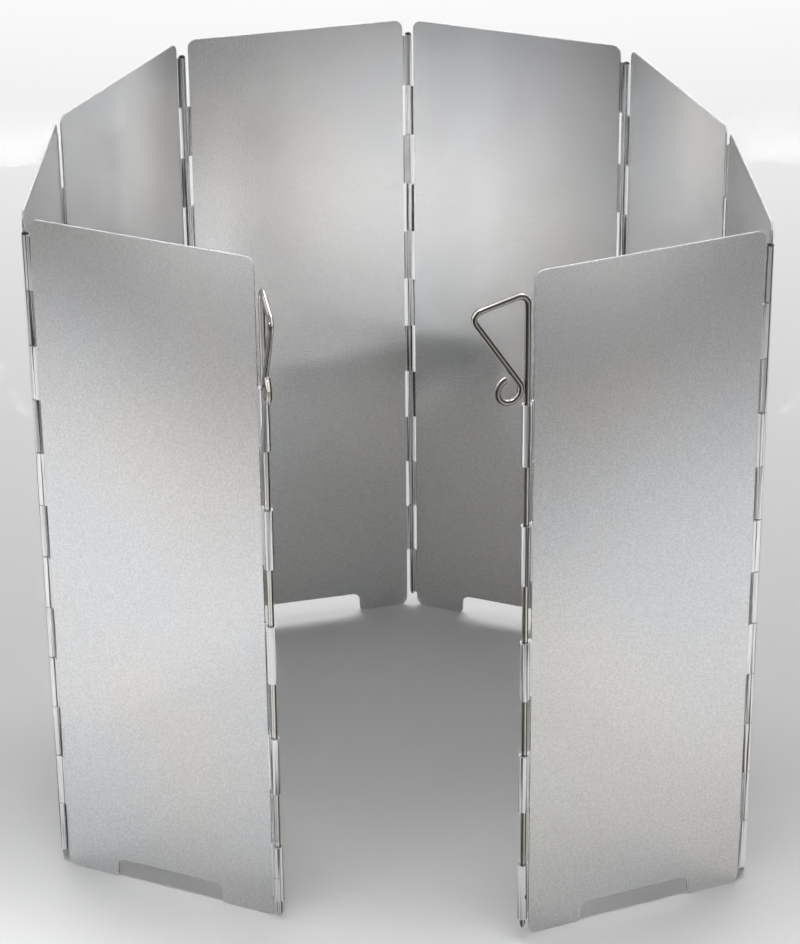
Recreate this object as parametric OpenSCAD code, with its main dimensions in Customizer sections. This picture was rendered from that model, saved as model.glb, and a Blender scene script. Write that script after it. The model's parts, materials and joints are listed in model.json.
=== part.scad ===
// Folding stove windscreen: eight aluminium sheets in a row, each rolled into
// knuckles along its upright edges. A straight wire runs down every hinge, and a
// wire stake with a finger handle sits in the knuckles of each free edge.
// The panels are counted from the left front one, round the back, to the right
// front one. Hinge line 0 is the left free edge and hinge line 8 the right one.

/* [Panels] */
// Height of a panel
panel_h = 240; // [180:5:300]
// Distance along the sheet between a panel's two hinge lines
panel_pitch = 83; // [70:1:110]
// Thickness of the sheet
sheet_t = 0.6; // [0.4:0.1:1]
// Radius of the two top corners
top_corner_r = 3; // [1:0.5:8]
// Width of each foot
foot_w = 19; // [12:1:26]
// Radius of the outer corner of each foot
foot_corner_r = 3; // [1:0.5:8]
// Height of the air notch between the feet
notch_h = 7.3; // [5:0.1:15]
// Radius of the upper corners of the air notch
notch_corner_r = 2.8; // [1:0.1:3.5]
// Radius of the inner corner of each foot
notch_foot_r = 1.5; // [0.5:0.1:2.2]

/* [Hinges] */
// Diameter of a hinge pin
pin_d = 1.2; // [0.8:0.1:2]
// Running clearance between a hinge pin and its knuckles, on the radius
pin_clear = 0.05; // [0.02:0.01:0.1]
// Angle that a knuckle is rolled through
curl_angle = 300; // [280:5:305]
// Gap between a rolled knuckle and the cut edge of the sheet beside it
edge_gap = 1.2; // [0.5:0.05:2]
// Knuckles along one hinge, shared by its two panels
hinge_knuckles = 12; // [4:2:20]
// Distance from the top edge down to the first hinge knuckle
hinge_inset_top = 5.7; // [3:0.1:12]
// Distance from the ground up to the last hinge knuckle
hinge_inset_bottom = 5; // [3:0.1:12]
// Gap between two knuckles, end to end
knuckle_gap = 0.4; // [0.2:0.1:1]
// Length of hinge pin that shows under the last knuckle
pin_tail = 1.2; // [0.5:0.1:2.5]
// Diameter of the peened head on top of a hinge pin
pin_head_d = 2.3; // [1.8:0.1:3]
// Height of the peened head
pin_head_h = 0.6; // [0.3:0.1:0.9]

/* [Free edges] */
// Knuckles that hold a stake
stake_knuckles = 5; // [3:1:5]
// Length of a stake knuckle
stake_knuckle_l = 21; // [12:0.5:24]
// Distance from the top edge down to the first stake knuckle
stake_inset_top = 43; // [30:1:60]
// Distance from the ground up to the last stake knuckle
stake_inset_bottom = 8; // [6:0.5:15]
// Running clearance between a stake and its knuckles, on the radius
stake_clear = 0.1; // [0.03:0.01:0.2]
// Depth of the punch mark that grips the stake in the last knuckle
crimp_depth = 0.3; // [0.1:0.05:0.35]
// Radius of the punch that made the mark
crimp_punch_r = 2; // [1:0.1:4]
// Distance of the punch mark below the top of the last knuckle
crimp_drop = 12; // [6:0.5:15]

/* [Stakes] */
// Diameter of the stake wire
stake_d = 2; // [1.6:0.1:3]
// Length of a stake, from its tip to the top of its handle
stake_l = 230; // [170:1:290]
// Height of the left stake's tip above the ground
left_tip_z = 1.7; // [1:0.1:8]
// Height of the right stake's tip above the ground
right_tip_z = 4.4; // [1:0.1:8]
// Length of the tapered tip
stake_tip_l = 1.5; // [0.5:0.1:2.5]
// Diameter of the blunt end of the tip
stake_tip_d = 1; // [0.6:0.1:1.5]
// Height of the finger handle, from the bottom of its end loop to its top
handle_h = 36.6; // [32:0.2:50]
// Reach of the handle from the stake's axis
handle_reach = 19.1; // [16:0.1:26]
// Drop of the handle's top bar towards its outer corner
handle_drop = 2.2; // [0:0.1:6]
// Bend radius at the top of the straight leg, at the middle of the wire
handle_bend_r = 3.1; // [2:0.1:5]
// Bend radius at the outer corner of the handle, at the middle of the wire
corner_bend_r = 2.6; // [1.7:0.1:4]
// Thinning of the wire in a bend, on the radius
bend_thin = 0.02; // [0.01:0.01:0.05]
// Diameter of the small end loop, at the middle of the wire
loop_d = 7.9; // [7:0.1:11]
// Angle that the end loop turns through
loop_angle = 290; // [180:5:295]
// Gap between the end loop and the straight leg
loop_gap = 0.3; // [0.2:0.05:1]

/* [Standing layout] */
// Direction of the left front panel in plan, from its free edge to its hinge
first_angle = 156; // [135:1:175]
// Inward turn between the left front panel and the left panel
hinge_angle_1 = 68.5; // [40:0.5:80]
// Inward turn between the left panel and the left corner panel
hinge_angle_2 = 23.5; // [5:0.5:40]
// Inward turn between the left corner panel and the rear left panel
hinge_angle_3 = 50; // [35:0.5:60]
// Inward turn between the rear left panel and the rear right panel
hinge_angle_4 = 35.5; // [15:0.5:45]
// Inward turn between the rear right panel and the right corner panel
hinge_angle_5 = 48.5; // [35:0.5:60]
// Inward turn between the right corner panel and the right panel
hinge_angle_6 = 15.5; // [5:0.5:40]
// Inward turn between the right panel and the right front panel
hinge_angle_7 = 72; // [40:0.5:80]
// Swivel of the left handle, outwards from its panel
left_handle_angle = 55; // [0:1:90]
// Swivel of the right handle, outwards from its panel
right_handle_angle = 3; // [0:1:90]

/* [Hidden] */
$fn = 48;
sheet_colour = "#c6c9cc";
wire_colour = "#b3b0aa";
panel_count = 8;
// Overshoot of cuts, lap of a knuckle into its sheet, lap of a wire run into a bend
cut_margin = 1;
sheet_lap = 1;
bend_lap = 0.1;

// A knuckle rolls round its wire, and the sheet runs off it at a tangent. The
// thin hinge pins are on lines 1 to 7, the thicker stakes on the two free edges.
pin_bore_r = pin_d / 2 + pin_clear;
stake_r = stake_d / 2;
stake_bore_r = stake_r + stake_clear;
function bore_r(line) = line == 0 || line == panel_count ? stake_bore_r : pin_bore_r;
function knuckle_r(line) = bore_r(line) + sheet_t;
function sheet_offset(line) = bore_r(line) + sheet_t / 2;
function edge_setback(line) = knuckle_r(line) + edge_gap;
function sheet_w(panel) = panel_pitch - edge_setback(panel - 1) - edge_setback(panel);

// Hinge knuckles fill the hinge from end to end, stake knuckles are spaced out
hinge_top_z = panel_h - hinge_inset_top;
hinge_slot = (hinge_top_z - hinge_inset_bottom) / hinge_knuckles;
stake_top_z = panel_h - stake_inset_top;
stake_span = stake_top_z - stake_inset_bottom;
stake_pitch = (stake_span - stake_knuckle_l) / (stake_knuckles - 1);

// The panels fold like an accordion, so the hinge wires lie by turns on the
// outer side and the inner side of the sheets: -1 outside, 1 inside
function wire_side(line) = line % 2 == 0 ? -1 : 1;
function wire_shift(line) = wire_side(line) * sheet_offset(line);

// Standing layout in plan, walked from the left free edge to the right one
hinge_angles = [
    hinge_angle_1, hinge_angle_2, hinge_angle_3, hinge_angle_4,
    hinge_angle_5, hinge_angle_6, hinge_angle_7
];
function heading(panel) =
    panel == 1 ? first_angle : heading(panel - 1) - hinge_angles[panel - 2];
function turned(v, angle) =
    [v.x * cos(angle) - v.y * sin(angle), v.x * sin(angle) + v.y * cos(angle)];
function panel_step(panel) =
    [panel_pitch, wire_shift(panel - 1) - wire_shift(panel)];
function walked(line) =
    line == 0 ? [0, 0] : walked(line - 1) + turned(panel_step(line), heading(line));
left_handle_dir = heading(1) + 180 - left_handle_angle;
right_handle_dir = heading(panel_count) + right_handle_angle;

// The origin is on the ground at the middle of the box round the standing part
handle_arm = [handle_reach - stake_r, 0];
plan_lines = [for (line = [0:panel_count]) walked(line)];
plan_handles = [
    walked(0) + turned(handle_arm, left_handle_dir),
    walked(panel_count) + turned(handle_arm, right_handle_dir)
];
function low(i) = min(
    min([for (line = [0:panel_count]) plan_lines[line][i] - knuckle_r(line)]),
    min([for (p = plan_handles) p[i]]) - stake_r);
function high(i) = max(
    max([for (line = [0:panel_count]) plan_lines[line][i] + knuckle_r(line)]),
    max([for (p = plan_handles) p[i]]) + stake_r);
plan_middle = [(low(0) + high(0)) / 2, (low(1) + high(1)) / 2];
function hinge_line(line) = walked(line) - plan_middle;

// Waste between a square corner at the origin and its rounding
module corner_waste(r) {
    difference() {
        translate([-cut_margin, -cut_margin]) square(r + cut_margin);
        translate([r, r]) circle(r);
    }
}

// Air notch, from below the ground line up to its rounded upper corners
module notch(w) {
    difference() {
        translate([-w / 2, -cut_margin]) square([w, notch_h + cut_margin]);
        for (side = [0, 1])
            mirror([side, 0]) translate([-w / 2, notch_h]) mirror([0, 1])
                corner_waste(notch_corner_r);
    }
}

// Flat outline of a sheet between its cut edges, feet at the bottom
module sheet_outline(w) {
    notch_w = w - 2 * foot_w;
    difference() {
        translate([-w / 2, 0]) square([w, panel_h]);
        notch(notch_w);
        for (side = [0, 1]) mirror([side, 0]) {
            translate([-w / 2, 0]) corner_waste(foot_corner_r);
            translate([-w / 2, panel_h]) mirror([0, 1]) corner_waste(top_corner_r);
            translate([-notch_w / 2, 0]) mirror([1, 0]) corner_waste(notch_foot_r);
        }
    }
}

// Section of a rolled knuckle round a wire at the origin, sheet to the right
module knuckle_section(line) {
    bore = bore_r(line);
    curl_end = 90 + curl_angle - 360;
    difference() {
        union() {
            circle(knuckle_r(line));
            translate([0, bore]) square([edge_setback(line) + sheet_lap, sheet_t]);
        }
        circle(bore);
        polygon([[0, 0], [bore / tan(curl_end), bore], [0, bore]]);
    }
}

module knuckle(line, z, length) {
    translate([0, 0, z]) linear_extrude(length) knuckle_section(line);
}

// Every second knuckle along a hinge, first is 0 for the topmost one
module hinge_edge(line, first) {
    for (slot = [first:2:hinge_knuckles - 1]) {
        knuckle_z = hinge_top_z - (slot + 1) * hinge_slot + knuckle_gap / 2;
        knuckle(line, knuckle_z, hinge_slot - knuckle_gap);
    }
}

// Spaced knuckles for a stake, the last one marked by a punch
module stake_edge(line) {
    difference() {
        for (i = [0:stake_knuckles - 1])
            knuckle(line, stake_top_z - i * stake_pitch - stake_knuckle_l, stake_knuckle_l);
        translate([
            0,
            crimp_depth - knuckle_r(line) - crimp_punch_r,
            stake_inset_bottom + stake_knuckle_l - crimp_drop
        ]) sphere(crimp_punch_r);
    }
}

// Puts a rolled edge on the side of the sheet where its wire lies
module on_line(line) {
    translate([0, -wire_shift(line), 0]) {
        if (wire_side(line) > 0) children();
        else mirror([0, 1, 0]) children();
    }
}

// One panel with its sheet along +X, its left hinge line over the origin's X
module panel_shape(panel) {
    w = sheet_w(panel);
    translate([edge_setback(panel - 1) + w / 2, sheet_t / 2, 0]) rotate([90, 0, 0])
        linear_extrude(sheet_t) sheet_outline(w);
    on_line(panel - 1) {
        if (panel == 1) stake_edge(0);
        else hinge_edge(panel - 1, 1);
    }
    translate([panel_pitch, 0, 0]) on_line(panel) mirror([1, 0, 0]) {
        if (panel == panel_count) stake_edge(panel_count);
        else hinge_edge(panel, 0);
    }
}

module standing_panel(panel) {
    color(sheet_colour)
        translate(hinge_line(panel - 1))
        rotate(heading(panel))
        translate([0, wire_shift(panel - 1), 0])
        panel_shape(panel);
}

module front_left_panel() { standing_panel(1); }
module left_panel() { standing_panel(2); }
module left_corner_panel() { standing_panel(3); }
module rear_left_panel() { standing_panel(4); }
module rear_right_panel() { standing_panel(5); }
module right_corner_panel() { standing_panel(6); }
module right_panel() { standing_panel(7); }
module front_right_panel() { standing_panel(8); }

// Straight wire through one hinge, peened over above the top knuckle
module hinge_pin(line) {
    pin_z = hinge_inset_bottom - pin_tail;
    dome_r = (pow(pin_head_d / 2, 2) + pow(pin_head_h, 2)) / (2 * pin_head_h);
    color(wire_colour) translate(hinge_line(line)) {
        translate([0, 0, pin_z]) cylinder(h = hinge_top_z - pin_z + pin_head_h / 2, d = pin_d);
        translate([0, 0, hinge_top_z]) intersection() {
            cylinder(h = pin_head_h + cut_margin, d = pin_head_d + cut_margin);
            translate([0, 0, pin_head_h - dome_r]) sphere(dome_r);
        }
    }
}

module hinge_pin_1() { hinge_pin(1); }
module hinge_pin_2() { hinge_pin(2); }
module hinge_pin_3() { hinge_pin(3); }
module hinge_pin_4() { hinge_pin(4); }
module hinge_pin_5() { hinge_pin(5); }
module hinge_pin_6() { hinge_pin(6); }
module hinge_pin_7() { hinge_pin(7); }

// The handle is bent round three circles: the top bend, the outer corner and the
// end loop. A bend's radius is positive where the wire turns clockwise round it.
loop_r = loop_d / 2;
bend_d = stake_d - 2 * bend_thin;
top_bend = [handle_bend_r, stake_l - stake_r - handle_bend_r];
outer_bend = [
    handle_reach - stake_r - corner_bend_r,
    top_bend.y + handle_bend_r - handle_drop - corner_bend_r
];
end_loop = [stake_d + loop_gap + loop_r, stake_l - handle_h + stake_r + loop_r];

// Direction of the straight run from one bend to the next, and where it touches
function run_dir(a, a_r, b, b_r) =
    atan2(b.y - a.y, b.x - a.x) - asin((a_r - b_r) / norm(b - a));
function touch(centre, r, dir) = centre + r * [-sin(dir), cos(dir)];

// A straight run laps a little way into the bends, where the wire is thinner
module wire_run(a, b) {
    translate(a) rotate(atan2(b.y - a.y, b.x - a.x)) rotate([0, 90, 0])
        translate([0, 0, -bend_lap]) cylinder(h = norm(b - a) + 2 * bend_lap, d = stake_d);
}

module wire_bend(centre, r, start, sweep) {
    translate(centre) rotate(start) rotate_extrude(angle = sweep)
        translate([r, 0]) circle(d = bend_d);
}

// Whole stake upright in the XY plane, its tip at the origin, its handle towards +X
module stake_wire() {
    leg_dir = 90;
    bar_dir = run_dir(top_bend, handle_bend_r, outer_bend, corner_bend_r);
    brace_dir = run_dir(outer_bend, corner_bend_r, end_loop, -loop_r);
    leg_foot = [0, stake_tip_l];
    rotate([-90, 0, 0]) cylinder(h = stake_tip_l, d1 = stake_tip_d, d2 = bend_d);
    wire_run(leg_foot, touch(top_bend, handle_bend_r, leg_dir));
    wire_bend(top_bend, handle_bend_r, bar_dir + 90, leg_dir - bar_dir);
    wire_run(touch(top_bend, handle_bend_r, bar_dir), touch(outer_bend, corner_bend_r, bar_dir));
    wire_bend(outer_bend, corner_bend_r, brace_dir + 90, bar_dir - brace_dir);
    wire_run(touch(outer_bend, corner_bend_r, brace_dir), touch(end_loop, -loop_r, brace_dir));
    wire_bend(end_loop, loop_r, brace_dir - 90, loop_angle);
}

module stake(line, tip_z, handle_dir) {
    color(wire_colour)
        translate(hinge_line(line)) translate([0, 0, tip_z])
        rotate(handle_dir) rotate([90, 0, 0])
        stake_wire();
}

module left_stake() { stake(0, left_tip_z, left_handle_dir); }
module right_stake() { stake(panel_count, right_tip_z, right_handle_dir); }

front_left_panel();
left_panel();
left_corner_panel();
rear_left_panel();
rear_right_panel();
right_corner_panel();
right_panel();
front_right_panel();
hinge_pin_1();
hinge_pin_2();
hinge_pin_3();
hinge_pin_4();
hinge_pin_5();
hinge_pin_6();
hinge_pin_7();
left_stake();
right_stake();
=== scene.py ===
import json
from math import asin, atan2, cos, pi, radians, sin, sqrt

import bmesh
import bpy
from mathutils import Matrix, Vector


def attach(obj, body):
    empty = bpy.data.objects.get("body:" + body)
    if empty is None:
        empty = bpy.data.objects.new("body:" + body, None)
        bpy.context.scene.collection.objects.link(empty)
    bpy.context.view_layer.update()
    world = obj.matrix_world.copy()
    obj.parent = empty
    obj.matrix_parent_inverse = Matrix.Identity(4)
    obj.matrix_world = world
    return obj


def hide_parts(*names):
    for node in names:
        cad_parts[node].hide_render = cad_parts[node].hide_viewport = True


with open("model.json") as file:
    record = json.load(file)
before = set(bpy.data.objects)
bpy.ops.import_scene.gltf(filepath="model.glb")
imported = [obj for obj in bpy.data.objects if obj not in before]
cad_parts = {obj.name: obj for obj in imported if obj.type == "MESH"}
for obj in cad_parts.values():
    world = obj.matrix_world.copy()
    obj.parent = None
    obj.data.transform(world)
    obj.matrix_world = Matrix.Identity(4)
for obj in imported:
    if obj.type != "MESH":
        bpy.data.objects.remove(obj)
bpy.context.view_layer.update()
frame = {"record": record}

# The eight sheets are bare rolled aluminium, 0.6 mm thick, with rounded corners. A wide notch in the
# lower edge leaves two feet on each. Tabs on the upright edges are rolled round the hinge wires or
# the stakes, so that a sheet and its knuckles are one piece of metal.
mm = 0.001
sheet_names = ["front_left_panel", "left_panel", "left_corner_panel", "rear_left_panel",
               "rear_right_panel", "right_corner_panel", "right_panel", "front_right_panel"]
sheet_count = len(sheet_names)
sheet_h = 240 * mm
sheet_t = 0.6 * mm
pitch = 83 * mm
edge_gap = 1.2 * mm
corner_r = 3 * mm
foot_w = 19 * mm
foot_inner_r = 1.5 * mm
notch_h = 7.3 * mm
notch_corner_r = 2.8 * mm
corner_steps = 6
sheet_columns = 12
bow_h = 0.16 * mm
sheet_crease = radians(25)

curl = radians(300)
fold_line_w = 0.25 * mm
fold_line_d = 0.14 * mm
hinge_bore_r = 0.65 * mm
hinge_top = 234.3 * mm
hinge_l = 229.3 * mm
hinge_knuckles = 12
hinge_slot = hinge_l / hinge_knuckles
hinge_play = 0.2 * mm
hinge_curl_steps = 20

free_edges = (0, sheet_count)
stake_bore_r = 1.1 * mm
stake_knuckle_tops = [197 * mm, 155 * mm, 113 * mm, 71 * mm, 29 * mm]
stake_knuckle_l = 21 * mm
stake_curl_steps = 40
punch_r = 2 * mm
punch_d = 0.3 * mm
punch_z = 17 * mm
punch_rows = range(-5, 6)
punch_row_h = punch_r / 9

first_heading = radians(156)
first_wire = Vector((-40.736 * mm, -97.6493 * mm, 0))
hinge_bends = [radians(bend) for bend in (68.5, 23.5, 50, 35.5, 48.5, 15.5, 72)]


def wire_bore(line):
    return stake_bore_r if line in free_edges else hinge_bore_r


def wire_out(line):
    """How far the wire's middle lies from the middle of the sheet, outwards positive."""
    out = wire_bore(line) + sheet_t / 2
    return out if line % 2 == 0 else -out


def knuckle_spans(line, first_slot):
    """Lower and upper end of each knuckle on one edge. The two sheets of a hinge take turns."""
    if line in free_edges:
        return [(top - stake_knuckle_l, top) for top in stake_knuckle_tops]
    tops = [hinge_top - slot * hinge_slot for slot in range(first_slot, hinge_knuckles, 2)]
    return [(top - hinge_slot + hinge_play, top - hinge_play) for top in tops]


headings = [first_heading - sum(hinge_bends[:n]) for n in range(sheet_count)]
wires = [first_wire]
for n in range(sheet_count):
    step = Vector((pitch, wire_out(n + 1) - wire_out(n), 0))
    wires.append(wires[n] + Matrix.Rotation(headings[n], 3, "Z") @ step)

body_of = {node: body for body, nodes in frame["record"]["behaviour"]["bodies"].items() for node in nodes}


def cut_across(bm, at, along):
    bmesh.ops.bisect_plane(bm, geom=bm.verts[:] + bm.edges[:] + bm.faces[:], plane_co=at, plane_no=along)


def flat_sheet(bm, left, right):
    """The blank: its outline with the notch between two feet, and every corner rounded."""
    outline = [(left, 0), (left + foot_w, 0), (left + foot_w, notch_h), (right - foot_w, notch_h),
               (right - foot_w, 0), (right, 0), (right, sheet_h), (left, sheet_h)]
    corners = [bm.verts.new((x, 0, z)) for x, z in outline]
    bm.faces.new(corners)
    roundings = [((0, 5, 6, 7), corner_r), ((1, 4), foot_inner_r), ((2, 3), notch_corner_r)]
    for which, radius in roundings:
        bmesh.ops.bevel(bm, geom=[corners[i] for i in which], offset=radius, offset_type="OFFSET",
                        segments=corner_steps, profile=0.5, affect="VERTICES", material=-1)


def bow(vert, left, right, phase):
    """Slight bow and ripple of rolled strip, nothing at the side edges and the feet."""
    across = (vert.co.x - left) / (right - left)
    if not 0 < across < 1:
        return 0
    up = vert.co.z / sheet_h
    bow_share, bow_rate = 0.6, 2.1
    ripple_share, ripple_rate = 0.4, 4.7
    fade_from_feet = min(1, 4 * up)
    wave = bow_share * sin(pi * across) * sin(bow_rate * up + phase)
    wave += ripple_share * sin(2 * pi * across) * sin(ripple_rate * up + 2 * phase)
    return bow_h * wave * fade_from_feet


def draw_on(bm, edges, by):
    """Extrudes open edges by a step, and gives the new edges."""
    grown = bmesh.ops.extrude_edge_only(bm, edges=edges)["geom"]
    verts = [g for g in grown if isinstance(g, bmesh.types.BMVert)]
    bmesh.ops.translate(bm, verts=verts, vec=by)
    return [g for g in grown if isinstance(g, bmesh.types.BMEdge)]


def roll_knuckle(bm, edge_x, wire_x, line, bottom, top):
    """Draws one tab from the sheet's edge out to the wire, past a fold line, and rolls it round."""
    near = 0.0001 * mm

    def on_tab(vert):
        return abs(vert.co.x - edge_x) < near and bottom - near < vert.co.z < top + near

    tab = [e for e in bm.edges if e.is_boundary and on_tab(e.verts[0]) and on_tab(e.verts[1])]
    outwards = 1 if wire_x > edge_x else -1
    wire_side = 1 if wire_out(line) > 0 else -1
    steps = stake_curl_steps if line in free_edges else hinge_curl_steps
    tab = draw_on(bm, tab, (outwards * fold_line_w, wire_side * fold_line_d, 0))
    tab = draw_on(bm, tab, (outwards * fold_line_w, -wire_side * fold_line_d, 0))
    tab = draw_on(bm, tab, (wire_x - edge_x - 2 * outwards * fold_line_w, 0, 0))
    bmesh.ops.spin(bm, geom=tab, cent=(wire_x, wire_out(line), 0), axis=(0, 0, 1),
                   angle=curl * outwards * wire_side, steps=steps)


def thicken(bm):
    """Gives the middle surface its thickness, half to each side."""
    bmesh.ops.recalc_face_normals(bm, faces=bm.faces[:])
    bm.normal_update()
    for vert in bm.verts:
        vert.co += vert.normal * vert.calc_shell_factor() * sheet_t / 2
    bm.normal_update()
    bmesh.ops.solidify(bm, geom=bm.faces[:], thickness=sheet_t)
    bm.normal_update()


def is_sheared(face):
    """Whether a face is part of the cut edge, which is as wide as the sheet is thick."""
    near = 0.05 * sheet_t
    walls = [e for e in face.edges if abs(e.calc_length() - sheet_t) < near]
    return len(walls) >= 2 and len(face.edges) == 4


def punch(bm, wire_x, line):
    """Dents the outer side of the lowest stake knuckle, which keeps the stake from slipping."""
    ball = Vector((wire_x, wire_out(line) + stake_bore_r + sheet_t - punch_d + punch_r, punch_z))
    for vert in bm.verts:
        away = vert.co - ball
        reach = punch_r ** 2 - away.x ** 2 - away.z ** 2
        if away.length < punch_r and reach > 0:
            vert.co.y = ball.y - sqrt(reach)


def finished_piece(bm, name, metals, crease):
    """The mesh as an object in its metals, smooth but for edges that turn by more than the crease."""
    for face in bm.faces:
        face.smooth = True
    for edge in bm.edges:
        edge.smooth = edge.calc_face_angle(pi) < crease
    mesh = bpy.data.meshes.new(name + "_piece")
    bm.to_mesh(mesh)
    bm.free()
    piece = bpy.data.objects.new(name + "_piece", mesh)
    bpy.context.scene.collection.objects.link(piece)
    for metal in metals:
        mesh.materials.append(metal)
    return piece


def new_metal(name, bare=1):
    """A metal and its shader. Bare metal is 1, and a dull skin makes it less."""
    metal = bpy.data.materials.new(name)
    metal.use_nodes = True
    shader = metal.node_tree.nodes["Principled BSDF"]
    shader.inputs["Metallic"].default_value = bare
    return metal, shader


def lay(metal, layer, onto, place):
    """Puts one layer of a finish in its place on the next."""
    metal.node_tree.links.new(layer, onto.inputs[place])


def marks(metal, fine, detail, broken=0.5, stretched=(1, 1, 1), along=None):
    """Uneven marks over the metal, finer with a larger number, and drawn out where stretched is small."""
    nodes = metal.node_tree.nodes
    if along is None:
        along = nodes.new("ShaderNodeTexCoord").outputs["Object"]
    stretch = nodes.new("ShaderNodeMapping")
    stretch.inputs["Scale"].default_value = stretched
    noise = nodes.new("ShaderNodeTexNoise")
    noise.inputs["Scale"].default_value = fine
    noise.inputs["Detail"].default_value = detail
    noise.inputs["Roughness"].default_value = broken
    lay(metal, along, stretch, "Vector")
    lay(metal, stretch.outputs["Vector"], noise, "Vector")
    return noise.outputs["Fac"]


def two_tones(metal, pattern, tones, between):
    """One tone where the marks are weak, another where they are strong, and a blend between."""
    tinted = metal.node_tree.nodes.new("ShaderNodeValToRGB")
    for stop, tone, strength in zip(tinted.color_ramp.elements, tones, between):
        stop.color = (*tone, 1)
        stop.position = strength
    lay(metal, pattern, tinted, "Fac")
    return tinted.outputs["Color"]


def graded(metal, pattern, levels, between):
    """A level, such as gloss, that goes from one to another as the marks grow strong."""
    grade = metal.node_tree.nodes.new("ShaderNodeMapRange")
    grade.inputs["From Min"].default_value, grade.inputs["From Max"].default_value = between
    grade.inputs["To Min"].default_value, grade.inputs["To Max"].default_value = levels
    lay(metal, pattern, grade, "Value")
    return grade.outputs["Result"]


def relief(metal, pattern, strength, height, over=None):
    """Fine ups and downs that go with the marks, over other relief where that is given."""
    dents = metal.node_tree.nodes.new("ShaderNodeBump")
    dents.inputs["Strength"].default_value = strength
    dents.inputs["Distance"].default_value = height
    lay(metal, pattern, dents, "Height")
    if over is not None:
        lay(metal, over, dents, "Normal")
    return dents.outputs["Normal"]


def rolled_aluminium():
    """Mill finish: dull specks all over it, a faint upright grain from the rolls, and a cloudy gloss."""
    pale, dull = (0.805, 0.805, 0.805), (0.755, 0.755, 0.755)
    cool, warm = (0.94, 0.96, 0.985), (0.985, 0.965, 0.935)
    metal, shader = new_metal("rolled_aluminium")
    specks = marks(metal, fine=1800, detail=1)
    grain = marks(metal, fine=1, detail=3, broken=0.6, stretched=(1700, 1700, 45))
    clouds = marks(metal, fine=38, detail=3, broken=0.55)
    haze = marks(metal, fine=11, detail=2)

    tinted = metal.node_tree.nodes.new("ShaderNodeVectorMath")
    tinted.operation = "MULTIPLY"
    lay(metal, two_tones(metal, specks, (pale, dull), between=(0.36, 0.64)), tinted, 0)
    lay(metal, two_tones(metal, haze, (cool, warm), between=(0.35, 0.65)), tinted, 1)
    lay(metal, tinted.outputs["Vector"], shader, "Base Color")
    lay(metal, graded(metal, specks, levels=(0.86, 0.78), between=(0.38, 0.62)), shader, "Metallic")
    lay(metal, graded(metal, clouds, levels=(0.1, 0.16), between=(0.3, 0.7)), shader, "Roughness")

    pitted = relief(metal, specks, strength=0.16, height=0.1 * mm)
    lay(metal, relief(metal, grain, strength=0.025, height=0.2 * mm, over=pitted), shader, "Normal")
    return metal


def curled_aluminium():
    """The knuckles: the curling die burnishes the sheet. Dark and pale upright streaks in the colour
    follow the grain but are painted reflection streaks, standing in for what a shiny tube mirrors.
    """
    grain_and_painted_dark_reflection, burnished = (0.13, 0.12, 0.11), (0.94, 0.94, 0.95)
    metal, shader = new_metal("curled_aluminium", bare=0.92)
    grain = marks(metal, fine=1, detail=2, broken=0.6, stretched=(1500, 1500, 14))
    scuffs = marks(metal, fine=900, detail=2)
    # The near-black tone is a painted reflection: dark streaks along the knuckle where a shiny tube would
    # mirror dark surroundings.
    lay(metal, two_tones(metal, grain, (grain_and_painted_dark_reflection, burnished), between=(0.41, 0.49)), shader, "Base Color")
    lay(metal, graded(metal, scuffs, levels=(0.04, 0.14), between=(0, 1)), shader, "Roughness")
    return metal


def cut_aluminium():
    """The sheared edge: torn and matt, with brighter burnished patches."""
    torn, burnished = (0.3, 0.3, 0.31), (0.62, 0.62, 0.63)
    metal, shader = new_metal("cut_aluminium")
    tears = marks(metal, fine=700, detail=3, broken=0.7)
    lay(metal, two_tones(metal, tears, (torn, burnished), between=(0.35, 0.65)), shader, "Base Color")
    shader.inputs["Roughness"].default_value = 0.6
    return metal


sheet_metals = [rolled_aluminium(), curled_aluminium(), cut_aluminium()]
flat, curled, sheared = range(3)

for n, name in enumerate(sheet_names):
    bm = bmesh.new()
    left = edge_gap + wire_bore(n) + sheet_t
    right = pitch - edge_gap - wire_bore(n + 1) - sheet_t
    flat_sheet(bm, left, right)
    left_knuckles = knuckle_spans(n, first_slot=1)
    right_knuckles = knuckle_spans(n + 1, first_slot=0)
    for bottom, top in left_knuckles + right_knuckles:
        cut_across(bm, (0, 0, bottom), (0, 0, 1))
        cut_across(bm, (0, 0, top), (0, 0, 1))
    if n in (0, sheet_count - 1):
        for row in punch_rows:
            cut_across(bm, (0, 0, punch_z + row * punch_row_h), (0, 0, 1))
    for column in range(1, sheet_columns):
        cut_across(bm, (left + (right - left) * column / sheet_columns, 0, 0), (1, 0, 0))
    for vert in bm.verts:
        vert.co.y += bow(vert, left, right, n)

    for bottom, top in left_knuckles:
        roll_knuckle(bm, left, 0, n, bottom, top)
    for bottom, top in right_knuckles:
        roll_knuckle(bm, right, pitch, n + 1, bottom, top)
    for face in bm.faces:
        face.material_index = flat if left < face.calc_center_median().x < right else curled
    thicken(bm)
    for face in bm.faces:
        if is_sheared(face):
            face.material_index = sheared
    if n == 0:
        punch(bm, 0, n)
    if n == sheet_count - 1:
        punch(bm, pitch, n + 1)

    seat = Matrix.Translation(wires[n]) @ Matrix.Rotation(headings[n], 4, "Z")
    bm.transform(seat @ Matrix.Translation((0, -wire_out(n), 0)))
    piece = finished_piece(bm, name, sheet_metals, sheet_crease)
    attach(piece, body_of[name])
    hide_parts(name)

# Each hinge is held by one straight length of drawn steel wire, 1.2 mm thick. It is pushed down
# through the twelve knuckles, and its upper end is peened over into a low, dark head.
pin_r = 0.6 * mm
pin_low = 3.8 * mm
pin_chamfer = 0.2 * mm
pin_sides = 24
pin_head_r = 1.15 * mm
pin_head_h = 0.6 * mm
pin_head_steps = 6
pin_crease = radians(35)
pin_seam = 0.001 * mm


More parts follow.
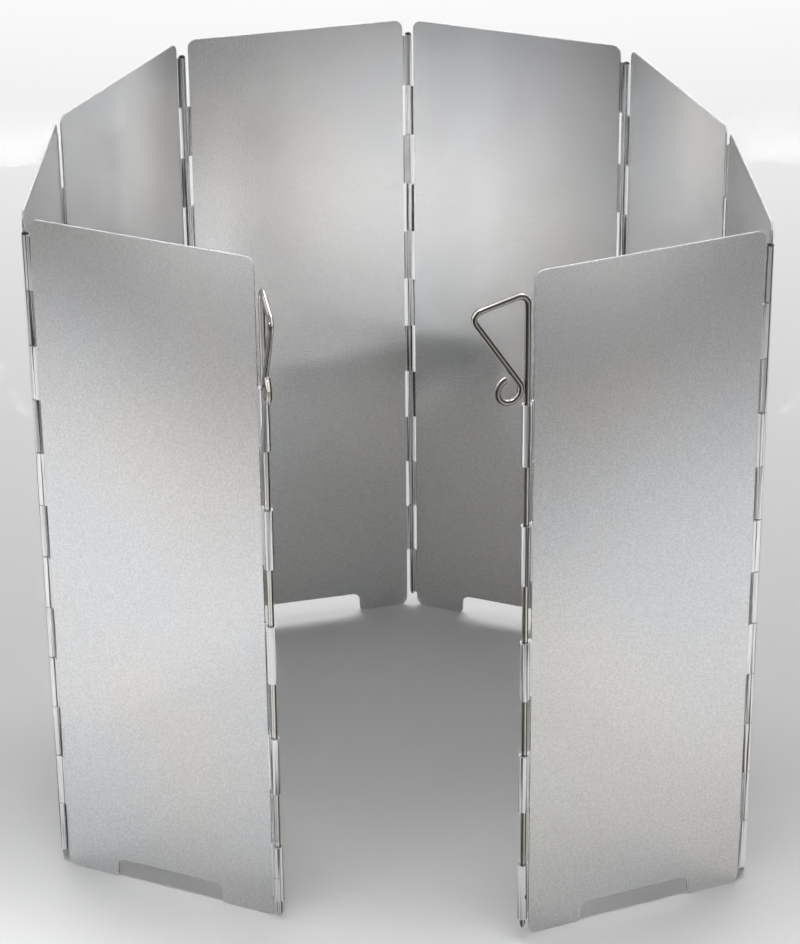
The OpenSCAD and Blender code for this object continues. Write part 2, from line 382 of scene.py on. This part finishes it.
def drawn_steel():
    """Dull drawn wire, a little brown."""
    brown, grey = (0.32, 0.29, 0.25), (0.5, 0.47, 0.43)
    metal, shader = new_metal("drawn_steel")
    lines = marks(metal, fine=1, detail=2, stretched=(3000, 3000, 60))
    lay(metal, two_tones(metal, lines, (brown, grey), between=(0, 1)), shader, "Base Color")
    shader.inputs["Roughness"].default_value = 0.34
    return metal


def peened_steel():
    """The hammered head: dark, with the pale flats that the hammer leaves."""
    dark, flats = (0.02, 0.017, 0.014), (0.16, 0.14, 0.12)
    metal, shader = new_metal("peened_steel")
    blows = marks(metal, fine=1100, detail=2)
    lay(metal, two_tones(metal, blows, (dark, flats), between=(0.45, 0.75)), shader, "Base Color")
    lay(metal, relief(metal, blows, strength=0.3, height=0.3 * mm), shader, "Normal")
    shader.inputs["Roughness"].default_value = 0.4
    return metal


pin_metals = [drawn_steel(), peened_steel()]
shank, head = range(2)
dome_r = (pin_head_r ** 2 + pin_head_h ** 2) / (2 * pin_head_h)
dome_mid = hinge_top + pin_head_h - dome_r
dome_turn = asin(pin_head_r / dome_r)
head_from = hinge_top + 0.01 * mm

for line in range(1, sheet_count):
    name = f"hinge_pin_{line}"
    bm = bmesh.new()
    outline = [(0, pin_low), (pin_r - pin_chamfer, pin_low), (pin_r, pin_low + pin_chamfer),
               (pin_r, hinge_top), (pin_head_r, hinge_top)]
    turning = [bm.verts.new((x, 0, z)) for x, z in outline]
    for a, b in zip(turning, turning[1:]):
        bm.edges.new((a, b))
    bmesh.ops.spin(bm, geom=[turning[-1]], cent=(0, 0, dome_mid), axis=(0, 1, 0), angle=-dome_turn,
                   steps=pin_head_steps)
    bmesh.ops.spin(bm, geom=bm.verts[:] + bm.edges[:], cent=(0, 0, 0), axis=(0, 0, 1), angle=2 * pi,
                   steps=pin_sides, use_merge=True)
    bmesh.ops.remove_doubles(bm, verts=bm.verts[:], dist=pin_seam)
    bmesh.ops.recalc_face_normals(bm, faces=bm.faces[:])
    for face in bm.faces:
        face.material_index = head if face.calc_center_median().z > head_from else shank
    bm.transform(Matrix.Translation(wires[line]))
    piece = finished_piece(bm, name, pin_metals, pin_crease)
    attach(piece, body_of[name])
    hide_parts(name)

# Two stakes of bright drawn wire, 2 mm thick, slide in the knuckles of the free edges and pin the
# screen to the ground. The top of each is bent over, down and round into a small finger handle.
stakes = [("left_stake", 0, radians(281), 1.7 * mm),
          ("right_stake", sheet_count, radians(-154.5), 4.4 * mm)]
wire_r = 1 * mm
wire_sides = 20
tip_r = 0.5 * mm
tip_l = 1.5 * mm
top_bend = Vector((3.1 * mm, 225.9 * mm))
top_bend_r = 3.1 * mm
top_bend_steps = 14
outer_bend = Vector((15.5 * mm, 224.2 * mm))
outer_bend_r = 2.6 * mm
outer_bend_steps = 16
end_loop = Vector((6.25 * mm, 198.35 * mm))
end_loop_r = 3.95 * mm
end_loop_turn = radians(290)
end_loop_steps = 44
end_bevel = 0.25 * mm
end_bevel_steps = 2
stake_crease = radians(40)


def run_direction(a, a_r, b, b_r):
    """Direction of the straight run from bend a to bend b, clockwise radii positive."""
    apart = b - a
    return atan2(apart.y, apart.x) - asin((a_r - b_r) / apart.length)


def leave_point(bend, bend_r, direction):
    """Where a straight run in this direction meets a bend."""
    return Vector((bend.x - bend_r * sin(direction), bend.y + bend_r * cos(direction)))


def bend_on(bm, ring, middle, turn, steps):
    """Bends the wire's open end round a point beside it."""
    grown = bmesh.ops.spin(bm, geom=ring, cent=(middle.x, 0, middle.y), axis=(0, -1, 0), angle=turn,
                           steps=steps)["geom_last"]
    return [g for g in grown if isinstance(g, bmesh.types.BMEdge)]


def bright_steel():
    """Bright drawn stainless wire, a little warm. Dark and bright streaks run along it: partly lines from
    the drawing die, partly painted reflection streaks.
    """
    die_scored_and_painted_dark_streak, bright = (0.06, 0.052, 0.045), (0.74, 0.71, 0.67)
    metal, shader = new_metal("bright_steel")
    round_wire = metal.node_tree.nodes.new("ShaderNodeAttribute")
    round_wire.attribute_name = "round_wire"
    lines = marks(metal, fine=1.7, detail=2, broken=0.6, along=round_wire.outputs["Vector"])
    # The near-black streaks are partly die lines and partly painted reflection, in place of the dark
    # bands a round wire mirrors.
    lay(metal, two_tones(metal, lines, (die_scored_and_painted_dark_streak, bright), between=(0.43, 0.56)), shader, "Base Color")
    lay(metal, relief(metal, lines, strength=0.06, height=0.1 * mm), shader, "Normal")
    shader.inputs["Roughness"].default_value = 0.12
    return metal


stake_metals = [bright_steel()]
bar_direction = run_direction(top_bend, top_bend_r, outer_bend, outer_bend_r)
brace_direction = run_direction(outer_bend, outer_bend_r, end_loop, -end_loop_r)
bar = (leave_point(outer_bend, outer_bend_r, bar_direction)
       - leave_point(top_bend, top_bend_r, bar_direction))
brace = (leave_point(end_loop, -end_loop_r, brace_direction)
         - leave_point(outer_bend, outer_bend_r, brace_direction))

for name, line, handle_heading, tip_z in stakes:
    bm = bmesh.new()
    round_wire = bm.verts.layers.float_vector.new("round_wire")
    tip = bmesh.ops.create_circle(bm, segments=wire_sides, radius=tip_r, cap_ends=True)["verts"]
    for vert in tip:
        vert[round_wire] = vert.co / tip_r
    ring = draw_on(bm, bm.edges[:], (0, 0, tip_l))
    shoulder = list({vert for edge in ring for vert in edge.verts})
    bmesh.ops.scale(bm, verts=shoulder, vec=(wire_r / tip_r, wire_r / tip_r, 1))
    ring = draw_on(bm, ring, (0, 0, top_bend.y - tip_l))
    ring = bend_on(bm, ring, top_bend, bar_direction - pi / 2, top_bend_steps)
    ring = draw_on(bm, ring, (bar.x, 0, bar.y))
    ring = bend_on(bm, ring, outer_bend, brace_direction - bar_direction, outer_bend_steps)
    ring = draw_on(bm, ring, (brace.x, 0, brace.y))
    ring = bend_on(bm, ring, end_loop, end_loop_turn, end_loop_steps)
    bmesh.ops.holes_fill(bm, edges=ring, sides=0)
    bmesh.ops.bevel(bm, geom=ring, offset=end_bevel, offset_type="OFFSET", segments=end_bevel_steps,
                    profile=0.5, affect="EDGES", material=-1)
    bmesh.ops.recalc_face_normals(bm, faces=bm.faces[:])
    seat = Matrix.Translation(wires[line] + Vector((0, 0, tip_z)))
    bm.transform(seat @ Matrix.Rotation(handle_heading, 4, "Z"))
    piece = finished_piece(bm, name, stake_metals, stake_crease)
    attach(piece, body_of[name])
    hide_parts(name)

# The floor is a wide sheet of pale paper, plain and almost without gloss. The sheets' feet stand on
# it, and it keeps the screen's shadow.
paper_reach = 6
paper_tone = (0.93, 0.93, 0.93, 1)
bm = bmesh.new()
bmesh.ops.create_grid(bm, x_segments=2, y_segments=2, size=paper_reach)
floor_mesh = bpy.data.meshes.new("floor")
bm.to_mesh(floor_mesh)
bm.free()
floor = bpy.data.objects.new("floor", floor_mesh)
bpy.context.scene.collection.objects.link(floor)
paper = bpy.data.materials.new("pale_paper")
paper.use_nodes = True
paper_shader = paper.node_tree.nodes["Principled BSDF"]
paper_shader.inputs["Base Color"].default_value = paper_tone
paper_shader.inputs["Roughness"].default_value = 0.9
paper_shader.inputs["Specular IOR Level"].default_value = 0.1
floor_mesh.materials.append(paper)


# The light is soft studio light. A wide box lights the paper behind the screen, and two boxes hang over
# the paper in front of it, which the front sheets mirror. Two narrow keys shine from the front on the
# rear sheets' upper halves, and a large weak fill stands at each side.
def soft_box(name, at, aim, width, height, watts, grid):
    """A lamp with a flat front. Its grid keeps the light within an angle, in degrees."""
    box = bpy.data.lights.new(name, "AREA")
    box.shape = "RECTANGLE"
    box.size = width
    box.size_y = height
    box.energy = watts
    box.spread = radians(grid)
    lamp = bpy.data.objects.new(name, box)
    lamp.location = at
    lamp.rotation_euler = (Vector(aim) - Vector(at)).to_track_quat("-Z", "Y").to_euler()
    bpy.context.scene.collection.objects.link(lamp)


soft_box("back_box", at=(0, 1.15, 1.1), aim=(0, 0.8, 0),
         width=2.4, height=0.8, watts=17, grid=160)
soft_box("left_box", at=(-0.28, -0.2, 0.75), aim=(-0.28, -0.2, 0),
         width=0.5, height=0.12, watts=0.34, grid=28)
soft_box("right_box", at=(0.24, -0.2, 0.75), aim=(0.24, -0.2, 0),
         width=0.46, height=0.12, watts=0.2, grid=28)
soft_box("left_key", at=(-0.42, -1.017, 0.82), aim=(0.033, 0.106, 0.174),
         width=0.03, height=0.03, watts=0.084, grid=7)
soft_box("right_key", at=(0.424, -1.017, 0.82), aim=(-0.021, 0.11, 0.174),
         width=0.03, height=0.03, watts=0.08, grid=7)
soft_box("left_fill", at=(-0.995, -0.575, 1.064), aim=(0, 0, 0.1),
         width=0.9, height=0.9, watts=0.8, grid=180)
soft_box("right_fill", at=(0.995, -0.575, 1.064), aim=(0, 0, 0.1),
         width=0.9, height=0.9, watts=0.6, grid=180)

# The room is white to the camera and in the metal, and gives only a little light of its own. Light
# that has touched the paper sees the room dim, also where the metal mirrors it.
room_light = 0.12
room_white = 1
room = bpy.data.worlds.new("room")
bpy.context.scene.world = room
room.use_nodes = True
room_nodes = room.node_tree.nodes
room_links = room.node_tree.links
path = room_nodes.new("ShaderNodeLightPath").outputs
mirrored = room_nodes.new("ShaderNodeMath")
mirrored.operation = "MAXIMUM"
room_links.new(path["Is Glossy Ray"], mirrored.inputs[0])
room_links.new(path["Is Transmission Ray"], mirrored.inputs[1])
seen = room_nodes.new("ShaderNodeMath")
seen.operation = "MAXIMUM"
room_links.new(path["Is Camera Ray"], seen.inputs[0])
room_links.new(mirrored.outputs["Value"], seen.inputs[1])
off_paper = room_nodes.new("ShaderNodeMath")
off_paper.operation = "LESS_THAN"
off_paper.inputs[1].default_value = 0.5
room_links.new(path["Diffuse Depth"], off_paper.inputs[0])
shown_white = room_nodes.new("ShaderNodeMath")
shown_white.operation = "MULTIPLY"
room_links.new(seen.outputs["Value"], shown_white.inputs[0])
room_links.new(off_paper.outputs["Value"], shown_white.inputs[1])
brightness = room_nodes.new("ShaderNodeMapRange")
brightness.inputs["To Min"].default_value = room_light
brightness.inputs["To Max"].default_value = room_white
room_links.new(shown_white.outputs["Value"], brightness.inputs["Value"])
room_nodes["Background"].inputs["Color"].default_value = (1, 1, 1, 1)
room_links.new(brightness.outputs["Result"], room_nodes["Background"].inputs["Strength"])

# The camera stands in front of the open side and looks down into it, as the photograph was taken. Its
# place, angles and focal length come from the corners of the sheets in the picture.
picture_h = 944
focal_l = 3349.42
sensor = 36
camera_at = (0.005127, -1.024753, 0.647082)
camera_pan = radians(0.2637)
camera_down = radians(27.3323)
camera_roll = radians(-0.5621)
camera_data = bpy.data.cameras.new("camera")
camera_data.sensor_width = sensor
camera_data.lens = focal_l * sensor / picture_h
camera_data.clip_start = 0.01
camera = bpy.data.objects.new("camera", camera_data)
bpy.context.scene.collection.objects.link(camera)
camera.matrix_world = (Matrix.Translation(camera_at)
                       @ Matrix.Rotation(camera_pan, 4, "Z")
                       @ Matrix.Rotation(pi / 2 - camera_down, 4, "X")
                       @ Matrix.Rotation(camera_roll, 4, "Z"))
bpy.context.scene.camera = camera
bpy.context.scene.view_settings.view_transform = "Standard"
